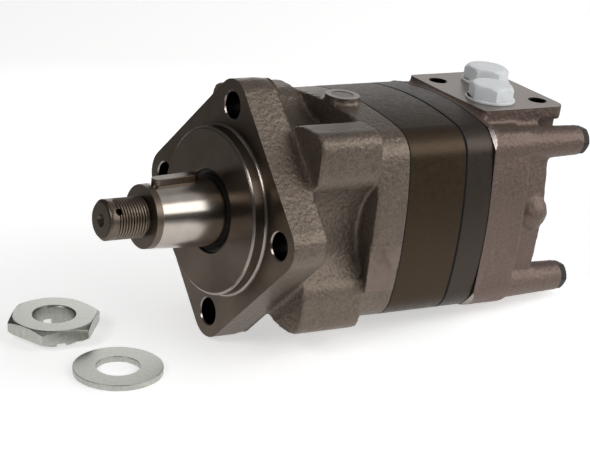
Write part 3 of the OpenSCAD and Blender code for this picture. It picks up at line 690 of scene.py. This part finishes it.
class MotorPlugs(bpy.types.PropertyGroup):
    """Port plugs"""

    plug_colour: bpy.props.FloatVectorProperty(
        name="Plug",
        description="Plastic of the port plugs",
        subtype="COLOR",
        default=paint("#EDF1F3"),
    )


class MotorStage(bpy.types.PropertyGroup):
    """Floor and lights"""

    floor_glow: bpy.props.FloatProperty(
        name="Floor glow",
        description="Light that the table gives back",
        default=0.6,
    )
    key_power: bpy.props.FloatProperty(
        name="Key light",
        description="Power of the large softbox, which the other lights follow",
        default=10,
        unit="POWER",
    )


class MOTOR_OT_stage(bpy.types.Operator):
    """White table, softboxes and the camera"""

    bl_idname = "motor.stage"
    bl_label = "Stage"

    def execute(self, context):
        scene, stage = context.scene, context.scene.motor_stage
        scene.view_settings.view_transform = "Standard"
        self.set_table(scene, stage.floor_glow)
        self.set_lights(scene, stage.key_power)
        self.set_camera(scene)
        return {"FINISHED"}

    @staticmethod
    def set_table(scene, glow):
        """Flat table that lies as the ground does under the motor."""
        table = bmesh.new()
        bmesh.ops.create_grid(table, x_segments=1, y_segments=1, size=8)
        tilt = Matrix.Rotation(-math.atan(GROUND_SLOPE), 4, "Y")
        lowered = Matrix.Translation((0, 0, GROUND_Z * MM))
        bmesh.ops.transform(table, matrix=lowered @ tilt, verts=table.verts)
        mesh = bpy.data.meshes.new("table")
        table.to_mesh(mesh)
        table.free()
        mesh.materials.append(white_card("white_matt_card_painted_shade", glow))
        floor = bpy.data.objects.new("table", mesh)
        scene.collection.objects.link(floor)

    @staticmethod
    def set_lights(scene, power):
        """Dim room and softboxes; places and sizes are in metres, powers are shares of the key light's."""
        world = bpy.data.worlds.new("studio")
        scene.world = world
        world.use_nodes = True
        world.node_tree.nodes["Background"].inputs["Color"].default_value = STUDIO_GREY
        world.node_tree.nodes["Background"].inputs["Strength"].default_value = 1.0

        centre, nut = Vector((0.06, 0, 0)), Vector((-0.06, 0.02, -0.07))
        for name, aim, way, reach, size, share in (
            ("key", centre, (0.555, -0.646, 0.523), 1.2, (1.7, 0.66), 1),
            ("overhead", centre, (0.555, -0.298, 0.776), 1.2, (1.7, 0.6), 0.17),
            ("left", centre, (-0.9, -0.25, 0.55), 1.5, (0.5, 0.5), 0.5),
            ("behind", centre, (0.555, 0.767, 0.30), 1.4, (1.0, 0.5), 0.13),
            ("top", centre, (0.2, 0.25, 0.95), 1.2, (1.7, 0.9), 0.16),
            ("right", centre, (0.9, -0.1, 0.4), 1.3, (0.5, 0.5), 0.15),
            ("card", nut, (0.473, 0.767, 0.432), 0.42, (0.22, 0.15), 0.011),
        ):
            lamp = bpy.data.lights.new(name, "AREA")
            lamp.shape = "RECTANGLE"
            lamp.size, lamp.size_y = size
            lamp.energy = power * share
            holder = bpy.data.objects.new(name, lamp)
            holder.visible_camera = False
            way = Vector(way).normalized()
            holder.location = aim + way * reach
            holder.rotation_mode = "QUATERNION"
            across = Vector((1, 0, 0)) if name in ("key", "overhead", "top") else way.cross((0, 0, 1))
            across = (across - way * across.dot(way)).normalized()
            turn = Matrix((across, way.cross(across), way)).transposed()
            holder.rotation_quaternion = turn.to_quaternion()
            scene.collection.objects.link(holder)

    @staticmethod
    def set_camera(scene):
        """Camera at the photo's angle."""
        camera = bpy.data.cameras.new("camera")
        camera.sensor_width = SENSOR_WIDTH
        camera.lens = SENSOR_WIDTH * FOCAL_PIXELS / PHOTO_WIDTH
        camera.clip_end = 50
        viewer = bpy.data.objects.new("camera", camera)
        back = -Vector(CAMERA_AHEAD).normalized()
        up = back.cross(Vector(CAMERA_RIGHT).normalized()).normalized()
        turn = Matrix((up.cross(back), up, back)).transposed()
        viewer.matrix_world = Matrix.Translation(CAMERA_PLACE) @ turn.to_4x4()
        scene.collection.objects.link(viewer)
        scene.camera = viewer


class MOTOR_OT_castings(bpy.types.Operator):
    """Shaft housing and port housing with rounded cast edges and machined faces"""

    bl_idname = "motor.castings"
    bl_label = "Castings"

    def execute(self, context):
        look = context.scene.motor_castings
        cast = sand_cast_iron("sand_cast_iron_lacquered", look.housing_dark, look.housing_light)
        # The port housing's lacquer has gone matt, so its grain glints less
        port_cast = sand_cast_iron("sand_cast_iron_port", look.port_dark, look.port_light, gloss=0.43)
        face = turned_iron("turned_iron_lacquered", look.face_colour)
        # Iron turned after the lacquer is pale and glints along its edges
        bare = turned_iron("turned_iron_bare", look.bare_colour, gloss=0.24)
        # Bored iron, painted almost black as the shade inside the holes
        bore = mottled("bored_iron_painted_shade", look.bore_colour, gloss=0.3)
        # Ground iron is pale and even
        flat = mottled("ground_iron_bare", look.bare_colour, metallic=0.95, gloss=0.3, grain_mm=1.5)
        # Milled iron under worn lacquer is smooth, with a soft cloudiness
        pad = mottled(
            "milled_iron_lacquered", look.pad_colour, metallic=0.85, gloss=0.38, grain_mm=3, depth_mm=0.03
        )
        for node, mesh, slot, skin in (
            ("shaft_housing", self.shaft_housing(), "cast_iron_housing", cast),
            ("port_housing", self.port_housing(), "cast_iron_port", port_cast),
        ):
            show(node + "_casting", mesh, "housing", [skin, face, bare, bore, pad, flat], [node])
        return {"FINISHED"}

    @staticmethod
    def bolt_places():
        """Places of the four long bolts' holes."""
        return [(0, side * BOLT_Y, height * BOLT_Z) for side in (-1, 1) for height in (-1, 1)]

    @staticmethod
    def slab(node, x, start, end):
        """Convex outline of a node's points near x, as a slab from start to end."""
        points = [v.co for v in frame["nodes"][node].data.vertices if abs(v.co.x - x * MM) < 0.3 * MM]
        return hull_of([(at * MM, p.y, p.z) for p in points for at in (start, end)])

    @staticmethod
    def seal_groove(start, end):
        """Ring that cuts a joint seal's groove."""
        middle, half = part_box("seam_seal_rear")[1].y / MM - 0.95, 1.05
        low, high = middle - half, middle + half
        return turned_ring([(start, low), (end, low), (end, high), (start, high)])

    @staticmethod
    def flange_draft(place, normal):
        """Draft of the flange's rim towards its rear edge, in millimetres."""
        rise = min((place.x - 11) / 8, (22 - place.x) / 3)
        facing = min(1, (0.95 - normal.x) / 0.4)
        return max(0, rise) ** 2 * max(0, facing)

    def shaft_housing(self):
        """Cast blank, faced, given its pilot and bored again where the solid has its holes."""
        quarters = [k * math.pi / 2 for k in range(4)]
        holes = [(0, FLANGE_CIRCLE_R * math.cos(turn), FLANGE_CIRCLE_R * math.sin(turn)) for turn in quarters]
        bolts = self.bolt_places()
        pad_block = (PAD_LOW[0], PAD_FACE_Y - 0.8, PAD_LOW[1]), (PAD_HIGH[0], -48, PAD_HIGH[1])
        blank = [
            whole_copy("shaft_housing"),
            turned([(2, 36), (60, 36)]),
            turned([(60, 49), (SEAM_X + 3, 49)]),
            self.slab("shaft_housing", 0, -3, 1),
            self.slab("gear_ring", SEAM_X, SEAM_X - 2, SEAM_X + 3),
            turned([(45, 8.8), (57.5, 8.8)], (DRAIN_X, 0, 0), "Z"),
            block(*pad_block),
            *[turned([(-3, 8), (19, 8)], place) for place in holes],
            *[turned([(44, 6), (SEAM_X + 2, 6)], place) for place in bolts],
        ]
        faces = [
            block((-30, -PAST, -PAST), (0, PAST, PAST)),
            block((SEAM_X, -PAST, -PAST), (SEAM_X + 20, PAST, PAST)),
            block((DRAIN_X - 12, -12, DRAIN_FACE_Z), (DRAIN_X + 12, 12, 70), FLAT),
            block(
                (PAD_LOW[0] - 2, -80, PAD_LOW[1] - 2),
                (PAD_HIGH[0] + 1, PAD_FACE_Y, PAD_HIGH[1] + 2),
                PAD,
            ),
        ]
        edge_r, foot_r = PILOT_R - 1.05, PILOT_R + 1.95
        pilot = turned(
            [
                (PILOT_FRONT, edge_r - 0.5), (PILOT_FRONT + 0.05, edge_r),
                (PILOT_FRONT + 1, PILOT_R), (-1.4, PILOT_R),
                (-1.0, PILOT_R + 0.1), (-0.5, PILOT_R + 0.5), (-0.15, PILOT_R + 1.15),
                (-0.02, foot_r), (3, foot_r),
            ],
            steps=180,
        )
        # The pilot's front is faced off inside its chamfer, and its foot ends in the flange's face
        trims = [
            turned([(-10, 39.8), (PILOT_FRONT + 0.04, 39.8)]),
            turned_ring([(-3, foot_r - 0.3), (0.0, foot_r - 0.3), (0.0, 48), (-3, 48)]),
        ]
        bores = [
            turned(self.shaft_bore()),
            self.seal_groove(SEAM_X - 2, SEAM_X + 1),
            *[
                turned([(-0.6, 7.95), (0.6, FLANGE_HOLE_R), (2, 6.7)], place, zone=BARE, steps=64)
                for place in holes
            ],
            # Inside the flange holes: painted shade
            *[
                turned([(0.6, FLANGE_HOLE_R), (24, FLANGE_HOLE_R)], place, zone=BORE, steps=64)
                for place in holes
            ],
            *[turned([(47, 4.05), (SEAM_X + 2, 4.05)], place, steps=48) for place in bolts],
            turned([(20, 3), (48.6, 3)], (DRAIN_X, 0, 0), "Z", steps=48),
            turned([(48.5, 5.74), (58, 5.74)], (DRAIN_X, 0, 0), "Z", steps=64),
        ]
        skin = cast_skin(blank, "shaft_housing_raw", draft=self.flange_draft)
        mesh = machine(
            skin, [("DIFFERENCE", faces), ("UNION", [pilot]), ("DIFFERENCE", trims), ("DIFFERENCE", bores)]
        )
        # The pilot's chamfer and the fillet at its foot are bare
        for start, end, low, high in ((-6.97, -5.9, 39.6, 41.3), (-1.2, -0.01, 41.2, 42.6)):
            for face in mesh.polygons:
                radius = math.hypot(face.center.y, face.center.z) / MM
                if start < face.center.x / MM < end and low < radius < high:
                    face.material_index = BARE
        return shade_smooth(mesh, 40)

    @staticmethod
    def shaft_bore():
        """Stepped bore whose seats follow the seals, bearings and wear plate."""
        seat = {}
        front, rear = {}, {}
        for name in ("dust_seal", "shaft_seal", "front_bearing_cup", "rear_bearing_cup", "wear_plate"):
            low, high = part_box(name)
            seat[name] = high.y / MM + SEAT_GAP
            front[name], rear[name] = low.x / MM, high.x / MM
        mouth_r, web_r, through_r = seat["dust_seal"] + 0.38, 18.5, seat["rear_bearing_cup"] - 1
        return [
            (-9, mouth_r), (PILOT_FRONT, mouth_r),
            (PILOT_FRONT + 0.4, seat["dust_seal"]), (rear["dust_seal"], seat["dust_seal"]),
            (rear["dust_seal"], web_r), (front["shaft_seal"], web_r),
            (front["shaft_seal"], seat["shaft_seal"]), (front["front_bearing_cup"], seat["shaft_seal"]),
            (front["front_bearing_cup"], seat["front_bearing_cup"]),
            (rear["front_bearing_cup"], seat["front_bearing_cup"]),
            (rear["front_bearing_cup"], through_r), (front["rear_bearing_cup"], through_r),
            (front["rear_bearing_cup"], seat["rear_bearing_cup"]),
            (front["wear_plate"], seat["rear_bearing_cup"]),
            (front["wear_plate"], seat["wear_plate"]), (SEAM_X + 4, seat["wear_plate"]),
        ]

    def port_housing(self):
        """Cast blank with its port plate, faced and bored for the valve, the ports and the bolts."""
        tail_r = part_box("balance_seal")[1].y / MM + 0.05
        ports = [sum(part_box(name), Vector()) / 2 / MM for name in ("port_plug_front", "port_plug_rear")]
        middle = (ports[0] + ports[1]) / 2
        taps = [(middle.x + side * TAP_X, -side * TAP_Y, 0) for side in (-1, 1)]
        bolts = self.bolt_places()
        plate = [
            (
                middle.x + along * (PLATE_L / 2 - r) + r * math.cos(step * math.pi / 12),
                across * (PLATE_W / 2 - r) + r * math.sin(step * math.pi / 12),
            )
            for along, r in ((-1, PLATE_FRONT_R), (1, PLATE_REAR_R))
            for across in (-1, 1)
            for step in range(24)
        ]
        swell = [(-11, 0.5), (-8.5, 6.5), (-4.5, 9.8), (0, 11), (4, 10.2), (8, 7.6), (12, 4), (15, 0.5)]
        top = PORT_FACE_Z
        blank = [
            whole_copy("port_housing"),
            self.slab("port_housing", PORT_FRONT, PORT_FRONT - 3, PORT_FRONT + 2),
            turned([(PORT_FRONT, 49), (PORT_FRONT + 5, 49)]),
            turned([(PORT_FRONT, 42), (PORT_REAR - 21, 36)]),
            hull_of([(x * MM, y * MM, z * MM) for x, y in plate for z in (top - 2, top + 2.5)]),
            *[turned([(25, 12.4), (top + 1, 12.4)], (port.x, port.y, 0), "Z") for port in ports],
            *[turned([(38, 5.6), (top + 1, 5.6)], place, "Z") for place in taps],
            *[
                turned([(PORT_FRONT, 6.5), (PORT_REAR - 1, 6.5), (PORT_REAR + 3, 7.8)], place)
                for place in bolts
            ],
            *[turned([(PORT_REAR - 4, 7.85), (PORT_REAR + 3, 7.8)], place) for place in bolts],
            turned(swell, (PORT_FRONT + SWELL_X, SWELL_Y, SWELL_Z), "Z"),
        ]
        faces = [
            block((PORT_FRONT - 30, -PAST, -PAST), (PORT_FRONT, PAST, PAST)),
            block((PORT_REAR, -PAST, -PAST), (PORT_REAR + 20, PAST, PAST)),
            block((PORT_FRONT + 2, -PAST, top), (PORT_REAR + 20, PAST, top + 30), FLAT),
        ]
        valve_end, tail_end = PORT_FRONT + VALVE_BORE_DEPTH, PORT_FRONT + 30.2
        edge = PORT_FRONT - 1, PORT_FRONT + 3
        bores = [
            turned([
                (PORT_FRONT - 2, VALVE_BORE_R), (valve_end, VALVE_BORE_R), (valve_end, tail_r),
                (tail_end, tail_r), (tail_end, 19), (PORT_FRONT + 38.2, 19),
            ]),
            self.seal_groove(PORT_FRONT - 1, PORT_FRONT + 2),
            *[turned([(PORT_FRONT - 2, 4.15), (PORT_REAR + 4, 4.15)], place, steps=48) for place in bolts],
            turned_ring([(edge[0], 61.4), (edge[1], 65.4), (edge[1], 75), (edge[0], 75)], BARE),
            # Port and tap bores below: painted shade inside
            *[
                turned([(36.8, 10.3), (top - 2, 10.3), (top + 1, 12.25)], (port.x, port.y, 0), "Z", BORE)
                for port in ports
            ],
            *[
                turned([(39.8, 4.3), (top - 0.6, 4.3), (top + 1, 5.9)], place, "Z", BORE, 48)
                for place in taps
            ],
            turned([(24, PASSAGE_R), (37, PASSAGE_R)], (ports[0].x, ports[0].y, 0), "Z", steps=48),
            turned([(0, PASSAGE_R), (37, PASSAGE_R)], (PORT_FRONT + 33.2, ports[1].y, 0), "Z", steps=48),
        ]
        skin = cast_skin(blank, "port_housing_raw")
        return shade_smooth(machine(skin, [("DIFFERENCE", faces), ("DIFFERENCE", bores)]), 40)


class MOTOR_OT_plates(bpy.types.Operator):
    """Gear ring and channel plate"""

    bl_idname = "motor.plates"
    bl_label = "Stack plates"

    def execute(self, context):
        look = context.scene.motor_castings
        # Milled iron under lacquer: dark, with the cutter's marks blurred to a soft grain
        ring = sand_cast_iron(
            "milled_iron_ring", dimmed(look.ring_colour, 0.75), look.ring_colour, grain_mm=2.2, depth_mm=0.07
        )
        # The same, but a little redder and finer
        plate = sand_cast_iron(
            "milled_iron_channel",
            dimmed(look.channel_colour, 0.85),
            look.channel_colour,
            grain_mm=1.6,
            depth_mm=0.05,
        )
        # Iron edges at the seam, painted almost black as the shade between the parts, and only a little
        # glossy
        seam = mottled("iron_seam_painted_shade", look.bore_colour, metallic=0.4, gloss=0.55)
        for node, made, slot in (
            ("gear_ring", ring, "cast_iron_ring"),
            ("channel_plate", plate, "cast_iron_channel"),
        ):
            solid = whole_copy(node)
            round_edges(solid, look.seam_bevel / MM, self.on_outline)
            low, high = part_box(node)
            # Painted shade: the rounded outer edges at each end take the seam's near-black material
            for face in solid.faces:
                middle = face.calc_center_median()
                depth = min(middle.x - low.x, high.x - middle.x)
                if 0.001 * MM < depth < look.seam_bevel and self.outside(middle):
                    face.material_index = 1
            mesh = to_mesh(solid, node + "_body")
            weigh_normals(show(node + "_body", mesh, "housing", [made, seam], [node]))
        return {"FINISHED"}

    @staticmethod
    def outside(place):
        """True on the outline, away from the bolt holes."""
        y, z = abs(place.y) / MM, abs(place.z) / MM
        return math.hypot(y, z) > 50 and math.hypot(y - BOLT_Y, z - BOLT_Z) > 5.5

    def on_outline(self, edge):
        """True for an edge on the outline."""
        return self.outside((edge.verts[0].co + edge.verts[1].co) / 2)


class MOTOR_OT_shaft(bpy.types.Operator):
    """Tapered output shaft with its cut thread, and the key"""

    bl_idname = "motor.shaft"
    bl_label = "Shaft"

    def execute(self, context):
        look = context.scene.motor_steel
        steel = ground_steel("ground_steel_shaft", look.shaft_colour, dull=look.dull_colour)
        # Steel left as it was turned: darker than the ground taper, with coarser rings
        dull = ground_steel(
            "turned_steel_key", look.dull_colour, gloss=0.3, pitch_mm=0.4, depth_mm=0.01
        )
        body = to_mesh(whole_copy("output_shaft"), "output_shaft_body")
        piece = show("output_shaft_body", body, "shaft", [steel], ["output_shaft"])
        groove = scratch(self.thread_groove(look.thread_pitch / MM), "groove")
        cut = piece.modifiers.new("thread", "BOOLEAN")
        cut.operation, cut.solver, cut.object = "DIFFERENCE", "EXACT", groove
        piece.data = settled(piece)
        piece.modifiers.clear()
        bpy.data.objects.remove(groove)
        piece.data.set_sharp_from_angle(angle=math.radians(35))
        weigh_normals(piece)
        piece.data = settled(piece)
        piece.modifiers.clear()
        self.smooth_taper(piece.data)

        key = whole_copy("shaft_key")
        round_edges(key, 0.3)
        mesh = to_mesh(key, "shaft_key_body")
        weigh_normals(show("shaft_key_body", mesh, "shaft", [dull], ["shaft_key"]))
        return {"FINISHED"}

    @staticmethod
    def smooth_taper(mesh):
        """Shades the taper as a true cone, since its long uneven facets would show as streaks."""
        tilt = math.atan(TAPER_SLOPE)
        normals = [tuple(normal.vector) for normal in mesh.corner_normals]
        for face in mesh.polygons:
            spots = [mesh.vertices[k].co / MM for k in face.vertices]
            along = [spot.x for spot in spots]
            radii = [math.hypot(spot.y, spot.z) for spot in spots]
            cone = [TAPER_SMALL_R + (x - TAPER_SMALL_X) * TAPER_SLOPE for x in along]
            off = max(abs(radius - wanted) for radius, wanted in zip(radii, cone))
            if off > 0.03 or max(along) - min(along) < 0.01:
                continue
            for corner, spot, radius in zip(face.loop_indices, spots, radii):
                out = math.cos(tilt) / radius
                normals[corner] = (-math.sin(tilt), out * spot.y, out * spot.z)
        mesh.normals_split_custom_set(normals)

    @staticmethod
    def thread_groove(pitch):
        """V groove along a helix round the motor's axis, as a cutting shape."""
        made = bmesh.new()
        steps, lip = 48, 0.3
        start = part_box("output_shaft")[0].x / MM + THREAD_RUN_IN
        half = pitch * 0.46
        section = [
            (start - half, THREAD_R + lip),
            (start, THREAD_R - THREAD_DEPTH),
            (start + half, THREAD_R + lip),
        ]
        face = made.faces.new([made.verts.new((x * MM, 0, r * MM)) for x, r in section])
        total = int(THREAD_TURNS * steps)
        bmesh.ops.spin(
            made,
            geom=[face] + face.edges[:] + face.verts[:],
            cent=(0, 0, 0),
            axis=(1, 0, 0),
            dvec=(pitch / steps * MM, 0, 0),
            angle=2 * math.pi * total / steps,
            steps=total,
            use_merge=False,
        )
        bmesh.ops.recalc_face_normals(made, faces=made.faces)
        return made


class MOTOR_OT_inner(bpy.types.Operator):
    """Bearings, gear set, drive links, valve and seals"""

    bl_idname = "motor.inner"
    bl_label = "Inner parts"

    def execute(self, context):
        # Bearing steel, honed: bright and almost a mirror
        bearing = ground_steel("honed_bearing_steel", paint("#BFC2C6"), gloss=0.12)
        # Bronze sheet, pressed: yellow-brown with a soft sheen
        bronze = mottled("pressed_bronze", paint("#A98B4E"), gloss=0.35)
        # Steel, hardened in oil: grey-brown and even
        hardened = mottled("hardened_steel", paint("#7A746D"), gloss=0.3)
        # Spring wire, tempered in oil: dark blue-grey
        spring = mottled("oil_tempered_steel", paint("#6E6E72"), gloss=0.3)
        # Nitrile rubber, moulded: black, with a dull gloss
        rubber = mottled("moulded_nitrile", paint("#161616"), metallic=0.0, gloss=0.5, depth_mm=0.02)
        # Steel, plated with zinc and lacquered with the housing: browner than the nut
        zinc = mottled("zinc_plated_plug", paint("#8A807C"), gloss=0.35)
        dress(
            bearing,
            "front_bearing_cup",
            "front_bearing_rollers",
            "thrust_washer",
            "thrust_rollers",
            "rear_bearing_cup",
            "rear_bearing_rollers",
            "star_gear",
            "disc_valve",
            *[f"ring_roller_{k}" for k in range(1, 8)],
        )
        dress(bronze, "front_bearing_cage", "rear_bearing_cage", "thrust_cage")
        dress(hardened, "wear_plate", "drive_link", "valve_link", "drive_spacer", "balance_plate")
        dress(spring, "balance_spring")
        dress(rubber, "dust_seal", "shaft_seal", "balance_seal")
        dress(rubber, "seam_seal_front", "seam_seal_middle", "seam_seal_rear")
        dress(zinc, "drain_plug")
        return {"FINISHED"}


class MOTOR_OT_fasteners(bpy.types.Operator):
    """Corner bolts, loose nut and washer"""

    bl_idname = "motor.fasteners"
    bl_label = "Fasteners"

    def execute(self, context):
        look = context.scene.motor_steel
        # Steel, blackened by oxide and oiled: black with a satin gloss
        black = mottled("black_oxide_steel", look.black_colour, metallic=0.6, gloss=0.32)
        # Steel, plated with zinc: pale silver with a clear reflection
        zinc = mottled("zinc_plated_steel", look.zinc_colour, gloss=0.28, depth_mm=0.006)
        for node, width, body, slot, made in (
            ("corner_bolts", 0.35, "housing", "black_steel", black),
            ("shaft_nut", 0.25, "nut", "zinc_steel", zinc),
            ("shaft_washer", 0.3, "washer", "zinc_steel", zinc),
        ):
            solid = whole_copy(node)
            round_edges(solid, width, sharp=35)
            mesh = to_mesh(solid, node + "_body")
            weigh_normals(show(node + "_body", mesh, body, [made], [node]))
        return {"FINISHED"}


class MOTOR_OT_plugs(bpy.types.Operator):
    """Plastic plugs in the two ports"""

    bl_idname = "motor.plugs"
    bl_label = "Port plugs"

    def execute(self, context):
        plastic = moulded_polythene("moulded_polythene", context.scene.motor_plugs.plug_colour)
        for side in ("front", "rear"):
            node = "port_plug_" + side
            solid = whole_copy(node)
            round_edges(solid, 0.4, sharp=35)
            mesh = to_mesh(solid, node + "_body")
            weigh_normals(show(node + "_body", mesh, side + "_plug", [plastic], [node]))
        return {"FINISHED"}


class MOTOR_PT_panel(bpy.types.Panel):
    """Settings and steps of the motor's finish"""

    bl_label = "Motor"
    bl_idname = "MOTOR_PT_panel"
    bl_space_type = "VIEW_3D"
    bl_region_type = "UI"
    bl_category = "Motor"

    def draw(self, context):
        for name, kind in GROUPS.items():
            box = self.layout.box()
            box.label(text=kind.__doc__)
            for prop in kind.__annotations__:
                box.prop(getattr(context.scene, name), prop)
        for operator in OPERATORS:
            self.layout.operator(operator.bl_idname)


GROUPS = {
    "motor_castings": MotorCastings,
    "motor_steel": MotorSteel,
    "motor_plugs": MotorPlugs,
    "motor_stage": MotorStage,
}
OPERATORS = (
    MOTOR_OT_stage,
    MOTOR_OT_castings,
    MOTOR_OT_plates,
    MOTOR_OT_shaft,
    MOTOR_OT_inner,
    MOTOR_OT_fasteners,
    MOTOR_OT_plugs,
)
CLASSES = (*GROUPS.values(), *OPERATORS, MOTOR_PT_panel)


def register():
    for kind in CLASSES:
        bpy.utils.register_class(kind)
    for name, kind in GROUPS.items():
        setattr(bpy.types.Scene, name, bpy.props.PointerProperty(type=kind))


def unregister():
    for name in GROUPS:
        delattr(bpy.types.Scene, name)
    for kind in reversed(CLASSES):
        bpy.utils.unregister_class(kind)


def main():
    register()
    for operator in OPERATORS:
        section, name = operator.bl_idname.split(".")
        getattr(getattr(bpy.ops, section), name)()


if __name__ == "__main__":
    main()
